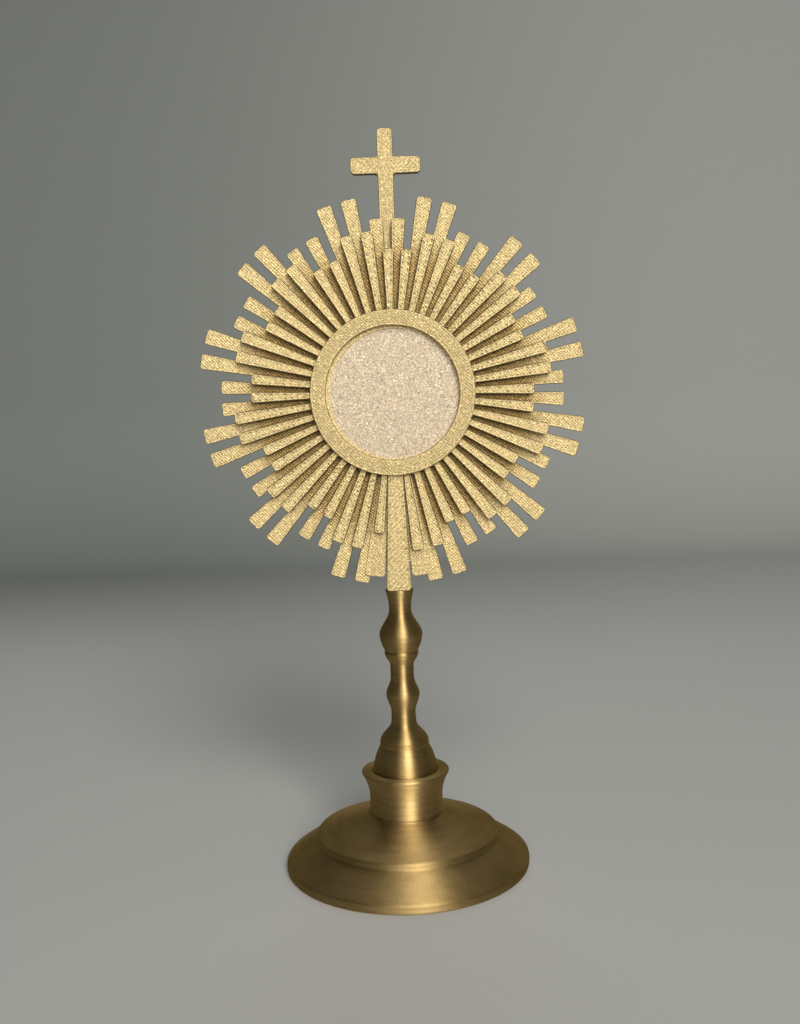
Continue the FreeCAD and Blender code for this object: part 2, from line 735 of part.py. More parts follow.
def make_door_knob():
    """Turned knob on the tab's rear face."""
    body = new_body("door_knob", "back_level + housing_thickness + door_gap + door_thickness", "head_height")
    bind(body, ".Placement.Base.x", "0 - magnet_offset")
    sketch = new_sketch(body, "knob_profile", "XY_Plane")
    add_outline(sketch, [
        ("0", "0", "line"),
        ("knob_radius - 0.5", "0", "line"),
        ("knob_radius - 0.7", "knob_height * 0.4", -ROUND),
        ("knob_radius", "knob_height * 0.7", -ROUND),
        ("knob_radius - 0.5", "knob_height", "line"),
        ("0", "knob_height", "line"),
    ])
    feature = body.newObject("PartDesign::Revolution", "knob_turning")
    feature.Profile = sketch
    feature.ReferenceAxis = (sketch, ["V_Axis"])
    feature.Angle = 360
    return body


def make_housing_screws():
    """Four pan-head screws with a crossed recess, as one group."""
    seat = size("back_level + housing_thickness")
    head = size("screw_head_height")
    radius = size("screw_head_radius")
    back = Vector(0, 1, 0)
    recess_depth = head * 0.6
    screws = []
    for across, up in screw_places():
        centre = Vector(size(across), seat, size(up))
        thread = Part.makeCylinder(size("screw_radius"), size("screw_length"), centre, -back)
        pan = Part.makeCylinder(radius, head, centre, back)
        rim = [edge for edge in pan.Edges if edge.BoundBox.YMin > seat + head / 2 and edge.Length > radius * 3]
        pan = pan.makeFillet(head * 0.45, rim)
        screw = thread.fuse(pan)
        for long_x, long_z in ((radius, radius * 0.25), (radius * 0.25, radius)):
            corner = centre + Vector(-long_x / 2, head - recess_depth, -long_z / 2)
            screw = screw.cut(Part.makeBox(long_x, recess_depth, long_z, corner))
        screws.append(screw.removeSplitter())
    group = doc.addObject("Part::Feature", "housing_screws")
    group.Shape = Part.makeCompound(screws)
    bind(group, ".Placement.Base.z", "head_height")
    return group


def make_closure():
    face = "back_level + housing_thickness"
    inside = face + " + door_gap"
    return [
        make_host_disc(),
        make_lunette_ring(),
        make_rear_housing(),
        make_rear_door(),
        cylinder("hinge_pin", "hinge_pin_radius", "hinge_pin_length", "hinge_offset", face,
                 "head_height - hinge_pin_length / 2"),
        make_door_knob(),
        make_housing_screws(),
        cylinder("door_magnet", "magnet_radius", "magnet_thickness", "0 - magnet_offset", inside,
                 "head_height", False),
        cylinder("housing_magnet", "magnet_radius", "magnet_thickness", "0 - magnet_offset",
                 face + " - magnet_thickness", "head_height", False),
    ]


# ---------------------------------------------------------------- build, check and write

pieces = make_stand()
pieces += [make_tang(), make_brace_plate(), make_front_ray_plate(), make_back_ray_plate(), make_cross()]
pieces += [make_bezel_ring()]
pieces += make_closure()
doc.recompute()

for item in doc.Objects:
    if "Invalid" in item.State or "Error" in item.State:
        raise RuntimeError("%s failed: %s" % (item.Name, item.State))

os.makedirs("parts", exist_ok=True)
for piece in pieces:
    shape = piece.Shape
    if shape.isNull() or not shape.isValid():
        raise RuntimeError("%s has no valid shape" % piece.Label)
for piece in pieces:
    piece.Shape.exportStep("parts/%s.step" % piece.Label)
    print("%-16s %d solid(s), %.1f mm3" % (piece.Label, len(piece.Shape.Solids), piece.Shape.Volume))
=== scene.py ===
import json
import math

import bpy
import numpy as np
from mathutils import Matrix, Vector, noise
from mathutils.geometry import tessellate_polygon

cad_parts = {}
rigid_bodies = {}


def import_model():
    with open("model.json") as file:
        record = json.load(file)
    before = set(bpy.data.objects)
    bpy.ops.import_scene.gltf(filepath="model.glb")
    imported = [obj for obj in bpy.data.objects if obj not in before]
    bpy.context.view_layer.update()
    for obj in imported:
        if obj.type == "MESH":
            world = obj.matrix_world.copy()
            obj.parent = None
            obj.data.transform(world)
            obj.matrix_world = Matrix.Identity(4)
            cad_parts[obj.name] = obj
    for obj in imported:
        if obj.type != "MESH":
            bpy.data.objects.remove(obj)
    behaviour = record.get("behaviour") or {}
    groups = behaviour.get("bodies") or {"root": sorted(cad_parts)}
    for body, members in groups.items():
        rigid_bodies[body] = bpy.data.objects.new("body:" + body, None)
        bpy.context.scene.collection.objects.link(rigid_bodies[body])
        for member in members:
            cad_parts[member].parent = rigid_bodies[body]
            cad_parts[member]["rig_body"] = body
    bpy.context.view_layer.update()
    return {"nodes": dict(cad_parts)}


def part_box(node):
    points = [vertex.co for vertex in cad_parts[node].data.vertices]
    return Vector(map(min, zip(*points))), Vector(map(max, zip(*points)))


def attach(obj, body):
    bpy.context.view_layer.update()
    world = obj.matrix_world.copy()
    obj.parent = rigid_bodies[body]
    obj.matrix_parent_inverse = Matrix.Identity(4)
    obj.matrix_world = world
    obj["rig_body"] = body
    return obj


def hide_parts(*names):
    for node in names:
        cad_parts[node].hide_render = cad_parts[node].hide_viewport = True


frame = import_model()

scene = bpy.context.scene
nodes = frame["nodes"]
MM = 0.001
MM_PER_METRE = 1000

# ---------------------------------------------------------------- sizes of the CAD pieces
# HEAD is in metres. The rest is in millimetres, with levels counted from the head's centre.

bezel_low, bezel_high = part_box("bezel_ring")
tang_low, tang_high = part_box("tang")
cross_low, cross_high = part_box("cross")
HEAD = (bezel_low.z + bezel_high.z) / 2
BEZEL_RADIUS = (bezel_high.x - bezel_low.x) / 2 / MM
BEZEL_WIDTH = 3.0
WINDOW_RADIUS = BEZEL_RADIUS - BEZEL_WIDTH
RAY_COUNT = 48  # rays of one plate
RAY_PITCH = 360 / RAY_COUNT  # degrees between neighbouring rays
GROUP = 4.0  # rays in one repeat of long and short tips
FRONT_RAY_ANGLE, BACK_RAY_ANGLE = 4.5, 4.75  # degrees between the two edges of a ray
FRONT_TIPS, BACK_TIPS = (27.3, 27.3, 30.85, 30.85), (33.25, 37.6, 37.6, 33.25)  # tip radii in one group
TANG_BOTTOM, TANG_TOP = ((corner.z - HEAD) / MM for corner in (tang_low, tang_high))
TANG_HALF_BOTTOM, TANG_HALF_TOP = 2.4, 1.45
CROSS_SPAN_HALF = (cross_high.x - cross_low.x) / 2 / MM
CROSS_TOP = (cross_high.z - HEAD) / MM
CROSS_ABOVE_ARM = 6.95
CROSS_ARM_LEVEL = CROSS_TOP - CROSS_ABOVE_ARM
CROSS_SHAFT_HALF, CROSS_ARM_HALF = 1.5, 1.575


# ---------------------------------------------------------------- camera and light

CAMERA_PLACE = (0.001764, -0.218984, 0.093532)
CAMERA_TURN = (0.299, 5.821, 1.913)  # degrees of pan, pitch and roll
CAMERA_SENSOR, CAMERA_LENS = 36, 39.375  # mm
CAMERA_NEAR = 0.005
WORLD_LIGHT = (0.066, 0.068, 0.066, 1)
# name, place, point it is aimed at, width, height, watts, colour, spread in degrees
LIGHTS = (
    ("window", (0.26, -0.96, 0.63), (0, 0, 0.07), 0.46, 0.95, 4.3, (1.0, 0.985, 0.95), 100),
    ("room", (-0.02, -0.95, 0.32), (0, 0, 0.07), 0.7, 0.4, 0.85, (1.0, 0.985, 0.95), 100),
    ("rear", (0.02, 0.36, 0.50), (0, 0, 0.09), 0.5, 0.3, 0.22, (0.97, 0.985, 1.0), 120),
)


def add_camera():
    """The camera of the main view: turned, tipped down a little and leaning slightly."""
    pan, pitch, roll = (math.radians(a) for a in CAMERA_TURN)
    right = Vector((math.cos(pan), math.sin(pan), 0))
    forward = Vector((-math.sin(pan) * math.cos(pitch), math.cos(pan) * math.cos(pitch), -math.sin(pitch)))
    up = right.cross(forward)
    rolled_right = right * math.cos(roll) - up * math.sin(roll)
    rolled_up = right * math.sin(roll) + up * math.cos(roll)
    placed = Matrix((rolled_right, rolled_up, -forward)).transposed().to_4x4()
    placed.translation = Vector(CAMERA_PLACE)
    data = bpy.data.cameras.new("camera")
    data.sensor_width = CAMERA_SENSOR
    data.lens = CAMERA_LENS
    data.clip_start = CAMERA_NEAR
    camera = bpy.data.objects.new("camera", data)
    camera.matrix_world = placed
    scene.collection.objects.link(camera)
    scene.camera = camera


def soft_light(name, place, target, width, height, power, colour, spread):
    """Rectangular lamp at place, aimed at target."""
    data = bpy.data.lights.new(name, "AREA")
    data.shape = "RECTANGLE"
    data.size = width
    data.size_y = height
    data.spread = math.radians(spread)
    data.energy = power
    data.color = colour
    light = bpy.data.objects.new(name, data)
    light.location = place
    light.rotation_euler = (Vector(target) - Vector(place)).to_track_quat("-Z", "Y").to_euler()
    scene.collection.objects.link(light)


# ---------------------------------------------------------------- node graphs

class Graph:
    """A material's nodes, with short names for the few kinds used here."""

    def __init__(self, name):
        self.material = bpy.data.materials.new(name)
        self.material.use_nodes = True
        self.tree = self.material.node_tree
        self.shader = self.tree.nodes["Principled BSDF"]

    def set(self, socket, value):
        if isinstance(value, bpy.types.NodeSocket):
            self.tree.links.new(value, socket)
        elif value is not None:
            socket.default_value = value

    def node(self, kind, *values, **settings):
        made = self.tree.nodes.new("ShaderNode" + kind)
        for key, value in settings.items():
            setattr(made, key, value)
        for socket, value in zip(made.inputs, values):
            self.set(socket, value)
        return made

    def math(self, operation, a, b=None, c=None, clamp=False):
        return self.node("Math", a, b, c, operation=operation, use_clamp=clamp).outputs[0]

    def add(self, a, b):
        return self.math("ADD", a, b)

    def sub(self, a, b):
        return self.math("SUBTRACT", a, b)

    def mul(self, a, b):
        return self.math("MULTIPLY", a, b)

    def step(self, value, low, high):
        """0 below low, 1 above high, smooth between; low may be the larger of the two."""
        made = self.node("MapRange", value, interpolation_type="SMOOTHSTEP")
        made.inputs["From Min"].default_value = low
        made.inputs["From Max"].default_value = high
        return made.outputs[0]

    def mix(self, share, a, b):
        made = self.node("Mix", data_type="FLOAT")
        self.set(made.inputs[0], share)
        self.set(made.inputs[2], a)
        self.set(made.inputs[3], b)
        return made.outputs[0]

    def blend(self, share, a, b, way="MIX"):
        made = self.node("Mix", data_type="RGBA", blend_type=way)
        self.set(made.inputs[0], share)
        self.set(made.inputs[6], a if isinstance(a, bpy.types.NodeSocket) else (*a, 1))
        self.set(made.inputs[7], b if isinstance(b, bpy.types.NodeSocket) else (*b, 1))
        return made.outputs[2]

    def place(self, scale, centre=(0, 0, 0)):
        """Object coordinates times scale, then moved."""
        coordinates = self.node("TexCoord").outputs["Object"]
        mapping = self.node("Mapping", coordinates)
        mapping.inputs["Location"].default_value = centre
        mapping.inputs["Scale"].default_value = scale if hasattr(scale, "__len__") else (scale,) * 3
        return mapping.outputs[0]

    def noise(self, vector, scale, detail=2.0, rough=0.5):
        made = self.node("TexNoise", vector)
        made.inputs["Scale"].default_value = scale
        made.inputs["Detail"].default_value = detail
        made.inputs["Roughness"].default_value = rough
        return made.outputs[0]

    def split(self, vector):
        return self.node("SeparateXYZ", vector).outputs

    def normal(self):
        """Parts of the surface's direction in the object's own axes."""
        return self.split(self.node("TexCoord").outputs["Normal"])

    def bump(self, height, distance, before=None):
        made = self.node("Bump")
        made.inputs["Strength"].default_value = 1.0
        made.inputs["Distance"].default_value = distance
        self.set(made.inputs["Height"], height)
        if before is not None:
            self.set(made.inputs["Normal"], before)
        return made.outputs[0]

    def finish(self, **values):
        for key, value in values.items():
            self.set(self.shader.inputs[key.replace("_", " ").title().replace("Ior", "IOR")], value)
        return self.material


# ---------------------------------------------------------------- printed silk gold

LINE = 0.45  # width of a printed wall line, and of a hatch line unless another is given
LAYER = 0.2  # height of a printed layer
GOLD = (0.69, 0.528, 0.252)
WARM, COOL = (1.03, 0.97, 0.95), (0.98, 1.03, 1.0)  # the gold drifts between these tints
RECESS_SHADE = (0.68, 0.59, 0.42)  # painted shade: multiplies the gold on the floors of the slots
RECESS_LINE_SHADE = (0.50, 0.45, 0.36)  # painted shade once more between the lines there
RECESS_SHADE_FADE = (31.0, 24.0)  # radii between which the painted shade sets in
SIDE_SHADE = (0.24, 0.19, 0.13)  # painted shade: multiplies the gold on the sides of plates
SIDE_SHADE_SHARE = 0.85
SIDE, FLAT = 0.45, 0.8  # how far the surface faces front or back to count as a side or as a face
WANDER_SCALE, WANDER = 0.35, 0.35  # slow drift of the hatch lines
WALL_BLEND = 0.06  # half the width over which the walls pass into the hatch
PIT_RADIUS, PIT_CORE = 0.25, 0.08  # small hole where a hatch line turns at the wall
GRAIN_SCALE, GRAIN_DETAIL, GRAIN_ROUGH = 2.2, 3.0, 0.8
LINE_RELIEF, GRAIN_RELIEF = 0.00008, 0.000065  # metres
PRINT_METALLIC = 0.45


def from_axis(g, a, b):
    """Distance from the axis, given the two coordinates across it."""
    return g.math("SQRT", g.add(g.mul(a, a), g.mul(b, b)))


def ray_edge(g, x, z, turn, half_angle, tips):
    """Distance in from the nearest ray's edge, the point's side, and how far the hatch crosses the ray.

    tips are the tip radii of the rays in one group, in turn.
    """
    radius = from_axis(g, x, z)
    bearing = g.math("ARCTAN2", x, z)
    sector = math.radians(RAY_PITCH)
    count = g.math("DIVIDE", g.sub(bearing, math.radians(turn)), sector)
    number = g.math("ROUND", count)
    off = g.mul(g.sub(count, number), sector)
    aside = g.mul(radius, g.math("SINE", off))
    along = g.mul(radius, g.math("COSINE", off))
    within = g.sub(g.mul(along, math.tan(math.radians(half_angle))), g.math("ABSOLUTE", aside))
    group = g.math("FLOORED_MODULO", number, GROUP)
    if tips[2] > tips[1]:
        later_half = g.step(group, 1.4, 1.6)
        tip = g.mix(later_half, min(tips), max(tips))
    else:
        middle_two = g.mul(g.step(group, 0.4, 0.6), g.step(group, 2.6, 2.4))
        tip = g.mix(middle_two, min(tips), max(tips))
    edge = g.math("MINIMUM", within, g.sub(tip, along))
    across_hatch = g.math("DIVIDE", g.math("ABSOLUTE", g.add(x, z)), g.mul(radius, math.sqrt(2)))
    return edge, g.math("GREATER_THAN", aside, 0.0), g.step(across_hatch, 0.35, 0.7)


def ring_edge(g, x, z, inner, outer):
    """The same three values for a flat ring."""
    radius = from_axis(g, x, z)
    inside = g.sub(radius, inner)
    edge = g.math("MINIMUM", inside, g.sub(outer, radius))
    return edge, g.math("GREATER_THAN", inside, (outer - inner) / 2), 1.0


def tang_edge(g, x, z, bottom, top, wide, narrow):
    """The same three values for the tapered bar, whose top is hidden under the ring."""
    share = g.math("DIVIDE", g.sub(z, bottom), top - bottom)
    half = g.mix(share, wide, narrow)
    edge = g.math("MINIMUM", g.sub(half, g.math("ABSOLUTE", x)), g.sub(z, bottom))
    return edge, g.math("GREATER_THAN", x, 0.0), 1.0


def cross_edge(g, x, z, shaft, span, arm, arm_half, top):
    """The same three values for the cross, whose foot is hidden behind the rays."""
    across = g.math("ABSOLUTE", x)
    upright = g.math("MINIMUM", g.sub(shaft, across), g.sub(top, z))
    level = g.math("MINIMUM", g.sub(span, across), g.sub(arm_half, g.math("ABSOLUTE", g.sub(z, arm))))
    return g.math("MAXIMUM", upright, level), g.math("GREATER_THAN", x, 0.0), 1.0


def silk_gold(name, edge_of=None, walls=1, slant=1, tone=1.0, relief=1.0, pits=1.0, rim=0.0, recess=False,
              line=LINE, outline=0.0):
    """Filament print: diagonal hatch, walls along the edges that edge_of gives, layers on the sides.

    walls counts the lines along an edge, slant is the hatch's way, and tone scales the gold. relief and pits
    scale the depth of lines and of pits and the painted shade in them. rim paints shade over a soft band at
    the edge and a painted sheen on the wall lines, outline paints shade over a narrow band at the edge and on
    the sides, and recess paints shade on the floors of the slots.
    """
    g = Graph(name)
    place = g.place(MM_PER_METRE, (0, 0, -HEAD * MM_PER_METRE))
    x, y, z = g.split(place)
    facing = g.step(g.math("ABSOLUTE", g.normal()[1]), SIDE, FLAT)
    wander = g.mul(g.sub(g.noise(place, WANDER_SCALE, 1.0), 0.5), WANDER)
    count = g.add(g.mul(g.add(g.mul(x, slant), z), math.sqrt(0.5) / line), wander)
    hatch = g.math("ABSOLUTE", g.math("SINE", g.mul(count, math.pi)))
    face = hatch
    pit = 0.0
    if edge_of:
        edge, side, share = edge_of(g, x, z)
        inward = g.math("MAXIMUM", edge, LINE / 2)
        wall = g.math("ABSOLUTE", g.math("SINE", g.mul(inward, math.pi / LINE)))
        inner = walls * LINE
        filling = g.step(edge, inner - WALL_BLEND, inner + WALL_BLEND)
        face = g.mix(filling, wall, hatch)
        phase = g.math("FRACT", g.add(g.mul(count, 0.5), g.mul(side, 0.5)))
        along = g.mul(g.sub(phase, 0.5), 2 * line)
        aside = g.sub(edge, inner)
        away = from_axis(g, along, aside)
        some = g.step(g.noise(place, 1.3, 1.0), 0.3, 0.6)
        pit = g.mul(g.step(away, PIT_RADIUS, PIT_CORE), g.mul(share, some))
    layers = g.math("ABSOLUTE", g.math("SINE", g.mul(y, math.pi / LAYER)))
    lines = g.mix(facing, layers, face)
    valley = g.step(lines, 0.5, 0.0)
    pit = g.mul(pit, facing)
    grain = g.step(g.noise(place, GRAIN_SCALE, GRAIN_DETAIL, GRAIN_ROUGH), 0.34, 0.66)
    tint = g.noise(place, 0.7, 2.0, 0.6)
    warm, cool = (tuple(c * k * tone for c, k in zip(GOLD, drift)) for drift in (WARM, COOL))
    colour = g.blend(tint, warm, cool)
    shade = g.math("MULTIPLY_ADD", grain, 0.62, 0.77)
    # painted shade: the colour darkens in the valleys between the printed lines and in the pits, where shade
    # falls
    shade = g.mul(shade, g.sub(1.0, g.mul(valley, 0.26 * relief)))
    shade = g.mul(shade, g.sub(1.0, g.mul(pit, 0.5 * pits)))
    # painted shade: a narrow dark band along each edge, where the rounded edges fall into shade
    if outline:
        shade = g.mul(shade, g.math("MULTIPLY_ADD", g.step(edge, 0.02, 0.3), outline, 1 - outline))
    # painted sheen: the wall lines stay brighter than the hatch; painted shade: a soft dark band along the
    # ring's edges
    if rim:
        shade = g.mul(shade, g.math("MULTIPLY_ADD", filling, -0.12, 1.0))
        shade = g.mul(shade, g.step(edge, -rim, rim))
    grey = g.node("CombineColor", shade, shade, shade).outputs[0]
    colour = g.blend(1.0, colour, grey, "MULTIPLY")
    # painted shade on the sides of the plates
    if outline:
        colour = g.blend(g.mul(g.sub(1.0, facing), SIDE_SHADE_SHARE), colour, SIDE_SHADE, "MULTIPLY")
    # painted shade on the floors of the slots, darkest between the lines
    if recess:
        front = g.step(g.normal()[1], -SIDE, -FLAT)
        deep = g.mul(g.step(from_axis(g, x, z), *RECESS_SHADE_FADE), front)
        colour = g.blend(deep, colour, RECESS_SHADE, "MULTIPLY")
        between = g.step(lines, 0.85, 0.25)
        colour = g.blend(g.mul(deep, between), colour, RECESS_LINE_SHADE, "MULTIPLY")
    rough = g.math("MULTIPLY_ADD", grain, 0.12, 0.32)
    height = g.sub(g.mul(lines, 0.6), g.mul(pit, 1.2 * pits))
    bumped = g.bump(height, LINE_RELIEF * relief)
    bumped = g.bump(grain, GRAIN_RELIEF, bumped)
    return g.finish(base_color=colour, metallic=PRINT_METALLIC, roughness=rough, normal=bumped)


# ---------------------------------------------------------------- metals

EDGE_OF_BRASS = (0.45, 0.40, 0.32, 1)  # tint of what it reflects at grazing angles
SPIN = 0.9  # how strongly a turned surface draws its highlight out across the tool marks
AROUND, ALONG_RADIUS = 0.03, 0.6  # stretch the noise into rings that also show on level faces
TURNING_RELIEF, SPECK_RELIEF, BRUSH_RELIEF = 0.000012, 0.00001, 0.000008  # metres
BRUSH_SCALE = 12.0


def turned_brass(name, base, dark, rough, spin=SPIN):
    """Lathe-turned brass: fine rings round the stem's axis, patches of patina and small specks."""
    g = Graph(name)
    place = g.place(MM_PER_METRE)
    x, y, z = g.split(place)
    outward = g.mul(from_axis(g, x, y), ALONG_RADIUS)
    ring_place = g.node("CombineXYZ", g.mul(x, AROUND), g.mul(y, AROUND), g.add(z, outward)).outputs[0]
    fine = g.noise(ring_place, 4.0, 3.0, 0.8)
    grain = g.noise(place, 3.0, 3.0, 0.8)
    coarse = g.noise(ring_place, 1.6, 2.0, 0.6)
    patina = g.noise(place, 0.12, 2.0, 0.5)
    speck = g.step(g.noise(place, 3.2, 2.0, 0.6), 0.6, 0.75)
    clouds = g.mul(g.step(patina, 0.3, 0.8), 0.4)
    bands = g.mul(g.sub(coarse, 0.35), 0.9)
    tarnish = g.math("ADD", clouds, bands, clamp=True)
    colour = g.blend(tarnish, base, dark)
    colour = g.blend(g.mul(speck, 0.3), colour, tuple(c * 0.4 for c in dark))
    shade = g.add(g.math("MULTIPLY_ADD", fine, 0.6, 0.31), g.mul(grain, 0.78))
    grey = g.node("CombineColor", shade, shade, shade).outputs[0]
    colour = g.blend(1.0, colour, grey, "MULTIPLY")
    roughness = g.add(g.math("MULTIPLY_ADD", tarnish, 0.08, rough), g.mul(g.sub(fine, 0.5), 0.12))
    bumped = g.bump(fine, TURNING_RELIEF)
    bumped = g.bump(g.noise(place, 3.0, 2.0), SPECK_RELIEF, bumped)
    tangent = g.node("Tangent", direction_type="RADIAL", axis="Z").outputs[0]
    return g.finish(base_color=colour, metallic=1.0, roughness=roughness, anisotropic=spin,
                    anisotropic_rotation=0.25, tangent=tangent, specular_tint=EDGE_OF_BRASS, normal=bumped)


def plated(name, base, rough):
    """Steel or nickel, brushed lightly around the upright axis."""
    g = Graph(name)
    place = g.place(MM_PER_METRE)
    x, y, z = g.split(place)
    brushed = g.node("CombineXYZ", g.mul(x, 0.1), g.mul(y, 0.1), z).outputs[0]
    scratches = g.noise(brushed, BRUSH_SCALE, 3.0, 0.7)
    cloud = g.noise(place, 0.8, 3.0)
    colour = g.blend(cloud, base, tuple(c * 0.8 for c in base))
    roughness = g.math("MULTIPLY_ADD", scratches, 0.25, rough)
    bumped = g.bump(scratches, BRUSH_RELIEF)
    return g.finish(base_color=colour, metallic=1.0, roughness=roughness, normal=bumped)


# ---------------------------------------------------------------- glitter, felt and the stage's surface

FLAKES_PER_MM = 5.0
FLAKE_TILT = 0.5
FLAKE_PINK, FLAKE_GOLD = (0.61, 0.46, 0.34), (0.52, 0.44, 0.28)
FLAKE_CREAM, FLAKE_SHADE = (0.72, 0.62, 0.44), (0.27, 0.19, 0.12)
FELT_DARK, FELT_LIGHT, FELT_DUSTY = (0.018, 0.035, 0.022), (0.045, 0.075, 0.05), (0.06, 0.085, 0.06)
FLOOR_TONES = (0.45, 0.45, 0.43), (0.48, 0.48, 0.465)
WALL_SHADED_TO_LIT_TONES = (0.245, 0.258, 0.24), (0.425, 0.435, 0.41)
WALL_SHADE_LEFT, WALL_SHADE_RIGHT = -0.20, 0.30  # painted shade: the wall is darker on the left
FLOOR_ENDS, WALL_STARTS = 0.16, 0.42


def glitter(name):
    """Fine glitter on card: flakes of cream, pink and pale gold, each tilted its own way."""
    g = Graph(name)
    place = g.place(MM_PER_METRE, (0, 0, -HEAD * MM_PER_METRE))
    cells = g.node("TexVoronoi", place)
    cells.inputs["Scale"].default_value = FLAKES_PER_MM
    tone = cells.outputs["Color"]
    parts = g.node("SeparateColor", tone).outputs
    colour = g.blend(g.step(parts[0], 0.3, 0.7), FLAKE_PINK, FLAKE_GOLD)
    colour = g.blend(g.step(parts[1], 0.6, 0.95), colour, FLAKE_CREAM)
    colour = g.blend(g.step(parts[2], 0.7, 0.95), colour, FLAKE_SHADE)
    tilt = g.node("VectorMath", tone, (0.5, 0.5, 0.5), operation="SUBTRACT").outputs[0]
    turned = g.node("VectorTransform", tilt, vector_type="VECTOR", convert_from="OBJECT", convert_to="WORLD")
    lean = g.node("VectorMath", turned.outputs[0], operation="SCALE")
    lean.inputs["Scale"].default_value = FLAKE_TILT
    upright = g.node("NewGeometry").outputs["Normal"]
    leaning = g.node("VectorMath", upright, lean.outputs[0], operation="ADD").outputs[0]
    leaning = g.node("VectorMath", leaning, operation="NORMALIZE").outputs[0]
    return g.finish(base_color=colour, metallic=0.2, roughness=0.42, normal=leaning)


def felt(name):
    """Dark green felt with short matted fibres."""
    g = Graph(name)
    place = g.place(MM_PER_METRE)
    flattened = g.place((MM_PER_METRE, MM_PER_METRE, 2.5 * MM_PER_METRE))
    fibres = g.noise(flattened, 2.4, 4.0, 0.75)
    cloud = g.noise(place, 0.3, 2.0)
    colour = g.blend(g.step(fibres, 0.3, 0.75), FELT_DARK, FELT_LIGHT)
    colour = g.blend(g.mul(cloud, 0.3), colour, FELT_DUSTY)
    return g.finish(base_color=colour, roughness=0.95, normal=g.bump(fibres, 0.0002))


def pale_stage():
    """Plain matt floor and wall, with painted shade darkening the wall towards the left."""
    g = Graph("pale_stage")
    place = g.place(1)
    cloud = g.noise(place, 6.0, 3.0)
    x, y, _ = g.split(place)
    floor = g.blend(cloud, *FLOOR_TONES)
    wall = g.blend(g.step(x, WALL_SHADE_LEFT, WALL_SHADE_RIGHT), *WALL_SHADED_TO_LIT_TONES)
    colour = g.blend(g.step(y, FLOOR_ENDS, WALL_STARTS), floor, wall)
    return g.finish(base_color=colour, roughness=0.75, normal=g.bump(g.noise(place, 900.0, 2.0), 0.00004))


# ---------------------------------------------------------------- pieces
# Lengths in this section are in millimetres, except the tolerances on a CAD mesh's own coordinates.

SAME_PLACE = 2e-6
SPACING = 0.06  # between the points of a finely spaced outline
TURN_KEPT, LONGEST_STEP = 3.0, 16  # degrees of turn, and points, after which a point is kept
AXIS = 0.002  # radius below which a ring closes to a point
PLATE_CORNER, FRONT_ROUND, BACK_ROUND = 0.16, 0.12, 0.08
FRONT_STEPS, BACK_STEPS = (90, 67.5, 45, 22.5, 0), (0, 45, 90)  # degrees round the rounded edges
FELT_SEGMENTS, FELT_RINGS, FELT_NAP = 144, 14, 0.08
FELT_RIM = (0.12, 0.12), (0.35, 0.0), (0.65, 0.0), (0.88, 0.12)  # share of the height, and how far in
FELT_TRIM, FELT_WAVER, WAVER_SCALE = 0.14, 0.1, 0.6  # how far the rim lies inside the CAD disc, and its drift
NAP_COARSE, NAP_FINE = (0.9, 0.05), (3.0, 0.03)  # scale and height of the nap's bumps


def dress(node, material):
    """Gives a CAD node its own material."""
    materials = nodes[node].data.materials
    materials.clear()
    materials.append(material)


def chains(edges):
    """Joins edges between keys into runs of keys; a closed run repeats its first key at its end."""
    near = {}
    for a, b in edges:
        near.setdefault(a, set()).add(b)
        near.setdefault(b, set()).add(a)
    ends = sorted(k for k in near if len(near[k]) == 1)
    runs, used = [], set()
    for start in ends + sorted(near):
        if start in used:
            continue
        run = [start]
        used.add(start)
        while True:
            ahead = sorted(k for k in near[run[-1]] if k not in used)
            if not ahead:
                break
            run.append(ahead[0])
            used.add(ahead[0])
        if len(run) > 2 and run[0] in near[run[-1]]:
            run.append(run[0])
        runs.append(run)
    return runs


def seam_of(node, centre, spin):
    """Outline of a turned CAD node, (radius, level) in mm, read along its seam; spin is its axis's index."""
    mesh = nodes[node].data
    other = 3 - spin
    found = {}
    for vertex in mesh.vertices:
        aside = vertex.co[other] - centre[other]
        across = vertex.co.x - centre[0]
        if abs(aside) < SAME_PLACE and across > -SAME_PLACE / 20:
            found[vertex.index] = (round(across / MM, 3), round((vertex.co[spin] - centre[spin]) / MM, 3))
    edges = set()
    for edge in mesh.edges:
        a, b = (found.get(v) for v in edge.vertices)
        if a is not None and b is not None and a != b:
            edges.add((min(a, b), max(a, b)))
    runs = chains(edges)
    loose = [k for run in runs if run[0] != run[-1] for k in (run[0], run[-1])]
    for level in sorted({k[1] for k in loose}):
        same = sorted(k for k in loose if k[1] == level)
        for a, b in zip(same[-2::-2], same[::-2]):
            edges.add((a, b))
        if len(same) % 2 and same[0][0] > 0:
            edges.add(((0.0, level), same[0]))
    return max(chains(edges), key=len)


def outline_of(node, depth):
    """Closed outlines (x, z) in mm of a CAD node's flat face at that depth."""
    mesh = nodes[node].data
    count = {}
    key = {v.index: (round(v.co.x / MM, 3), round(v.co.z / MM, 3)) for v in mesh.vertices}
    for face in mesh.polygons:
        if all(abs(mesh.vertices[i].co.y - depth) < SAME_PLACE for i in face.vertices):
            corners = [key[i] for i in face.vertices]
            for a, b in zip(corners, corners[1:] + corners[:1]):
                if a != b:
                    edge = (min(a, b), max(a, b))
                    count[edge] = count.get(edge, 0) + 1
    return [run for run in chains({e for e, n in count.items() if n == 1}) if run[0] == run[-1]]


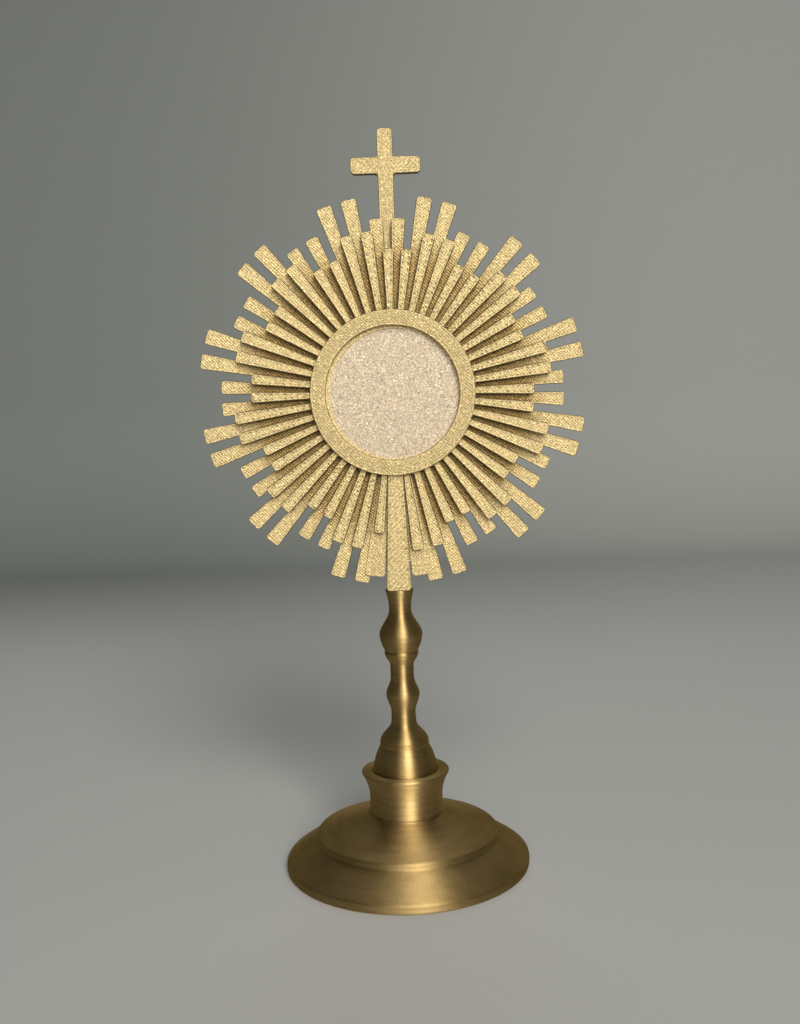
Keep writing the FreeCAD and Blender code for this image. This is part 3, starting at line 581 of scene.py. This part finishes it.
def relaxed(points, spread):
    """A finely spaced copy of the run with its corners eased, and the direction at each point."""
    points = np.array(points, float)
    closed = bool(np.allclose(points[0], points[-1]))
    lengths = np.r_[0, np.cumsum(np.linalg.norm(np.diff(points, axis=0), axis=1))]
    number = max(8, int(lengths[-1] / SPACING))
    at = np.linspace(0, lengths[-1], number + 1)
    dense = np.stack([np.interp(at, lengths, points[:, k]) for k in (0, 1)], 1)
    step = lengths[-1] / number
    reach = max(1, int(3 * spread / step))
    weights = np.exp(-0.5 * (np.arange(-reach, reach + 1) * step / spread) ** 2)
    weights /= weights.sum()
    if closed:
        dense = dense[:-1]
        padded = np.concatenate([dense[-reach:], dense, dense[:reach]])
    else:
        before = 2 * dense[0] - dense[reach:0:-1]
        after = 2 * dense[-1] - dense[-2:-reach - 2:-1]
        padded = np.concatenate([before, dense, after])
    eased = np.stack([np.convolve(padded[:, k], weights, "valid") for k in (0, 1)], 1)
    ahead = np.roll(eased, -1, 0) - np.roll(eased, 1, 0) if closed else np.gradient(eased, axis=0)
    return eased, ahead / np.linalg.norm(ahead, axis=1)[:, None], closed


def thinned(ahead, closed):
    """Which points of a relaxed run to keep: one for every few degrees that it turns."""
    kept, last = [0], 0
    for i in range(1, len(ahead)):
        cosine = float(np.clip(ahead[i] @ ahead[last], -1, 1))
        if math.degrees(math.acos(cosine)) > TURN_KEPT or i - last >= LONGEST_STEP:
            kept.append(i)
            last = i
    if not closed and kept[-1] != len(ahead) - 1:
        kept.append(len(ahead) - 1)
    return kept


def new_piece(name, points, faces, normals, material, node):
    """A mesh piece that stands for a CAD node and rides on its body."""
    mesh = bpy.data.meshes.new(name)
    mesh.from_pydata([Vector(p) * MM for p in points], [], faces)
    mesh.polygons.foreach_set("use_smooth", [True] * len(mesh.polygons))
    mesh.normals_split_custom_set_from_vertices([Vector(n).normalized() for n in normals])
    mesh.materials.append(material)
    piece = bpy.data.objects.new(name, mesh)
    scene.collection.objects.link(piece)
    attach(piece, nodes[node]["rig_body"])
    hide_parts(node)
    return piece


def turned_piece(name, node, material, spread, segments, spin=2, centre=(0, 0, 0), scores=()):
    """Own lathe mesh of a turned CAD node, with eased edges and fine scored lines (level, depth, width).

    spread is how softly its edges are eased, and spin the index of the axis that it was turned about.
    """
    run, ahead, closed = relaxed(seam_of(node, centre, spin), spread)
    middle = run[:, 0] @ np.gradient(run[:, 1])
    outward = np.stack([ahead[:, 1], -ahead[:, 0]], 1) * (1 if middle > 0 else -1)
    for level, depth, width in scores:
        near = np.exp(-0.5 * ((run[:, 1] - level) / width) ** 2) * (outward[:, 0] > 0.2)
        run = run - outward * (depth * near)[:, None]
    if scores:
        ahead = np.gradient(run, axis=0)
        ahead /= np.linalg.norm(ahead, axis=1)[:, None]
        outward = np.stack([ahead[:, 1], -ahead[:, 0]], 1) * (1 if middle > 0 else -1)
    kept = thinned(ahead, closed)
    points, normals, faces = [], [], []
    start = []
    for i in kept:
        radius, level = max(run[i][0], 0.0), run[i][1]
        start.append((len(points), radius > AXIS))
        for k in range(segments if radius > AXIS else 1):
            angle = 2 * math.pi * k / segments
            c, s = math.cos(angle), math.sin(angle)
            place = [centre[0] / MM + radius * c, 0, 0]
            lean = [outward[i][0] * c, 0, 0]
            place[3 - spin], place[spin] = centre[3 - spin] / MM + radius * s, centre[spin] / MM + level
            lean[3 - spin], lean[spin] = outward[i][0] * s, outward[i][1]
            if radius <= AXIS:
                lean = [0, 0, 0]
                lean[spin] = 1 if outward[i][1] > 0 else -1
            points.append(place)
            normals.append(lean)
    pairs = list(zip(start, start[1:] + start[:1])) if closed else list(zip(start, start[1:]))
    flip = (middle > 0) == (spin == 2)
    for (a, ring_a), (b, ring_b) in pairs:
        for k in range(segments):
            n = (k + 1) % segments
            if ring_a and ring_b:
                face = [a + k, a + n, b + n, b + k]
            elif ring_a:
                face = [a + k, a + n, b]
            elif ring_b:
                face = [a, b + n, b + k]
            else:
                continue
            faces.append(face if flip else face[::-1])
    new_piece(name, points, faces, normals, material, node)


def plate_piece(name, node, material):
    """Own mesh of a flat CAD node: its outline with eased corners, and rounded front and back edges."""
    low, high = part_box(node)
    front, back = low.y / MM, high.y / MM
    runs = []
    for outline in outline_of(node, low.y):
        run, ahead, _ = relaxed(outline, PLATE_CORNER)
        following = np.roll(run, -1, 0)
        area = float(np.sum(run[:, 0] * following[:, 1] - following[:, 0] * run[:, 1])) / 2
        runs.append((area, run, ahead))
    runs.sort(key=lambda item: -abs(item[0]))
    points, normals, faces = [], [], []
    cap_front, cap_back = [], []
    for number, (area, run, ahead) in enumerate(runs):
        outer = number == 0
        sign = 1 if (area > 0) == outer else -1
        outward = np.stack([ahead[:, 1], -ahead[:, 0]], 1) * sign
        kept = thinned(ahead, True)
        rings = []
        levels = [(FRONT_ROUND, front, -1, a) for a in FRONT_STEPS]
        levels += [(BACK_ROUND, back, 1, a) for a in BACK_STEPS]
        for rounding, face_level, way, angle in levels:
            c, s = math.cos(math.radians(angle)), math.sin(math.radians(angle))
            inset = rounding * (1 - c)
            depth = face_level - way * rounding * (1 - s)
            rings.append(len(points))
            for i in kept:
                x, z = run[i] - outward[i] * inset
                points.append((x, depth, z))
                normals.append((outward[i][0] * c, way * s, outward[i][1] * c))
        count = len(kept)
        for a, b in zip(rings, rings[1:]):
            for k in range(count):
                n = (k + 1) % count
                face = [a + k, a + n, b + n, b + k]
                faces.append(face[::-1] if sign > 0 else face)
        cap_front.append(list(range(rings[0], rings[0] + count)))
        cap_back.append(list(range(rings[-1], rings[-1] + count)))
    for cap, facing in ((cap_front, -1), (cap_back, 1)):
        loops = [[Vector((points[i][0], points[i][2], 0)) for i in loop] for loop in cap]
        flat = [i for loop in cap for i in loop]
        patch, turn = [], 0.0
        for corners in tessellate_polygon(loops):
            a, b, c = (flat[k] for k in corners)
            (ax, _, az), (bx, _, bz), (cx, _, cz) = points[a], points[b], points[c]
            turn += (bx - ax) * (cz - az) - (bz - az) * (cx - ax)
            patch.append([a, b, c])
        faces += patch if (turn > 0) == (facing < 0) else [face[::-1] for face in patch]
    new_piece(name, points, faces, normals, material, node)


def felt_disc(name, node, material):
    """Cut disc of felt: a soft rim that is a little uneven, and a napped face that rises and dips."""
    low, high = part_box(node)
    radius, bottom, top = (high.x - low.x) / 2 / MM, low.z / MM, high.z / MM
    shape = [(share / FELT_RINGS, bottom, -1, 0.0) for share in range(1, FELT_RINGS)]
    shape += [(1.0, bottom + (top - bottom) * share, 0, inset) for share, inset in FELT_RIM]
    shape += [(share / FELT_RINGS, top, 1, 0.0) for share in range(FELT_RINGS - 1, 0, -1)]
    points, normals, faces = [(0, 0, bottom)], [(0, 0, -1)], []
    for share, level, facing, inset in shape:
        for k in range(FELT_SEGMENTS):
            angle = 2 * math.pi * k / FELT_SEGMENTS
            c, s = math.cos(angle), math.sin(angle)
            spot = Vector((radius * share * c, radius * share * s, level))
            nap = sum(noise.noise(spot * scale) * height for scale, height in (NAP_COARSE, NAP_FINE))
            if facing:
                reach = radius * share
                level_here = level - facing * (FELT_NAP - facing * nap)
                normals.append((0, 0, facing))
            else:
                reach = radius - (FELT_TRIM + FELT_WAVER * noise.noise(spot * WAVER_SCALE) + nap + inset)
                level_here = level
                normals.append((c, s, 0))
            points.append((reach * c, reach * s, level_here))
    points.append((0, 0, top - FELT_NAP))
    normals.append((0, 0, 1))
    last = len(points) - 1
    for k in range(FELT_SEGMENTS):
        n = (k + 1) % FELT_SEGMENTS
        faces.append([0, 1 + n, 1 + k])
        for row in range(len(shape) - 1):
            a, b = 1 + row * FELT_SEGMENTS, 1 + (row + 1) * FELT_SEGMENTS
            faces.append([a + k, a + n, b + n, b + k])
        a = 1 + (len(shape) - 1) * FELT_SEGMENTS
        faces.append([last, a + k, a + n])
    piece = new_piece(name, points, faces, normals, material, node)


def sweep():
    """Floor that curves up into a wall behind."""
    front, back, bend, tall, half, steps = -9.0, 0.40, 0.10, 4.0, 9.0, 12
    profile = [(front, 0.0)]
    for step in range(steps + 1):
        turn = math.radians(90 * step / steps)
        profile.append((back + bend * math.sin(turn), bend - bend * math.cos(turn)))
    profile.append((back + bend, tall))
    points = [(side, y, z) for y, z in profile for side in (-half, half)]
    faces = [(2 * i, 2 * i + 1, 2 * i + 3, 2 * i + 2) for i in range(len(profile) - 1)]
    mesh = bpy.data.meshes.new("sweep")
    mesh.from_pydata(points, [], faces)
    mesh.polygons.foreach_set("use_smooth", [True] * len(faces))
    floor = bpy.data.objects.new("sweep", mesh)
    scene.collection.objects.link(floor)
    mesh.materials.append(pale_stage())


add_camera()
sweep()
world = bpy.data.worlds.new("studio")
scene.world = world
world.use_nodes = True
world.node_tree.nodes["Background"].inputs[0].default_value = WORLD_LIGHT
for light in LIGHTS:
    soft_light(*light)
scene.view_settings.view_transform = "Standard"


# ---------------------------------------------------------------- what each printed piece's walls follow

def front_rays(g, x, z):
    return ray_edge(g, x, z, 0, FRONT_RAY_ANGLE / 2, FRONT_TIPS)


def back_rays(g, x, z):
    return ray_edge(g, x, z, RAY_PITCH / 2, BACK_RAY_ANGLE / 2, BACK_TIPS)


def ring(g, x, z):
    return ring_edge(g, x, z, WINDOW_RADIUS, BEZEL_RADIUS)


def tang(g, x, z):
    return tang_edge(g, x, z, TANG_BOTTOM, TANG_TOP, TANG_HALF_BOTTOM, TANG_HALF_TOP)


def cross(g, x, z):
    return cross_edge(g, x, z, CROSS_SHAFT_HALF, CROSS_SPAN_HALF, CROSS_ARM_LEVEL, CROSS_ARM_HALF, CROSS_TOP)


# ---------------------------------------------------------------- the monstrance

# silk gold prints; the last numbers of the ring's piece are its easing, segments, axis index and centre
# outline paints shade along the edges and sides of the plates, and recess paints shade on the back plate's
# slot floors
flat_prints = {
    "front_ray_plate": silk_gold("silk_front_rays", front_rays, tone=1.07, relief=1.3, pits=0.8, outline=0.8),
    "back_ray_plate": silk_gold("silk_back_rays", back_rays, tone=1.05, relief=1.3, pits=0.3, recess=True,
                                outline=0.75),
    "brace_plate": silk_gold("silk_brace", tone=0.97),
    "cross": silk_gold("silk_cross", cross, walls=2, slant=-1, tone=0.88, relief=0.75, pits=0.25, line=0.66,
                       outline=0.55),
}
for node, material in flat_prints.items():
    plate_piece("printed_" + node, node, material)
# the ring's rim paints shade along its edges and a sheen on its wall lines
ring_gold = silk_gold("silk_bezel_ring", ring, tone=0.94, pits=0.2, rim=0.25)
turned_piece("printed_bezel_ring", "bezel_ring", ring_gold, 0.07, 192, 1, (0, 0, HEAD))
plain_gold = silk_gold("silk_plain")
# outline paints shade along the tang's edges and sides
tang_gold = silk_gold("silk_tang", tang, slant=-1, tone=0.96, relief=1.1, pits=0.6, line=0.75, outline=0.55)

# turned brass: base, tarnish, roughness; then how softly the edges are eased, segments and scored lines
stem_brass = turned_brass("antique_brass", (0.50, 0.35, 0.145), (0.36, 0.245, 0.09), 0.49)
# painted shade: the foot's copy has a darker base than the stem's
foot_brass_painted_shade = turned_brass("antique_brass_foot_painted_shade", (0.46, 0.325, 0.138), (0.33, 0.225, 0.085), 0.53, spin=0.82)
# painted highlight: the neck's copy has a brighter base than the stem's
neck_brass_painted_highlight = turned_brass("antique_brass_neck_painted_highlight", (0.60, 0.43, 0.185), (0.44, 0.31, 0.125), 0.50)
bright_brass = turned_brass("bright_brass", (0.75, 0.56, 0.26), (0.62, 0.44, 0.19), 0.22)
STEM_SCORES = (46.3, 0.03, 0.06), (45.7, 0.02, 0.05), (41.9, 0.03, 0.06), (34.2, 0.03, 0.06)
NECK_SCORES = ((18.35, 0.04, 0.07),)
for node, material, spread, segments, scores in (
        ("foot", foot_brass_painted_shade, 0.26, 192, ()),
        ("neck_collar", neck_brass_painted_highlight, 0.12, 128, NECK_SCORES),
        ("stem_bell", stem_brass, 0.08, 128, ()),
        ("stem", stem_brass, 0.10, 96, STEM_SCORES)):
    turned_piece("turned_" + node, node, material, spread, segments, scores=scores)

# CAD nodes that are shown as they are
steel = plated("steel", (0.62, 0.61, 0.59), 0.25)
nickel = plated("nickel", (0.75, 0.74, 0.72), 0.12)
for material, names in (
        (plain_gold, ("rear_housing", "rear_door")),
        (tang_gold, ("tang",)),
        (silk_gold("silk_lunette", tone=1.02, relief=0.2), ("lunette_ring",)),
        (bright_brass, ("door_knob", "head_pin")),
        (steel, ("tie_rod", "washer", "nut", "hinge_pin", "housing_screws")),
        (nickel, ("door_magnet", "housing_magnet")),
        (glitter("cream_glitter"), ("host_disc",))):
    for node in names:
        dress(node, material)
felt_disc("felt_pad", "base_pad", felt("felt"))
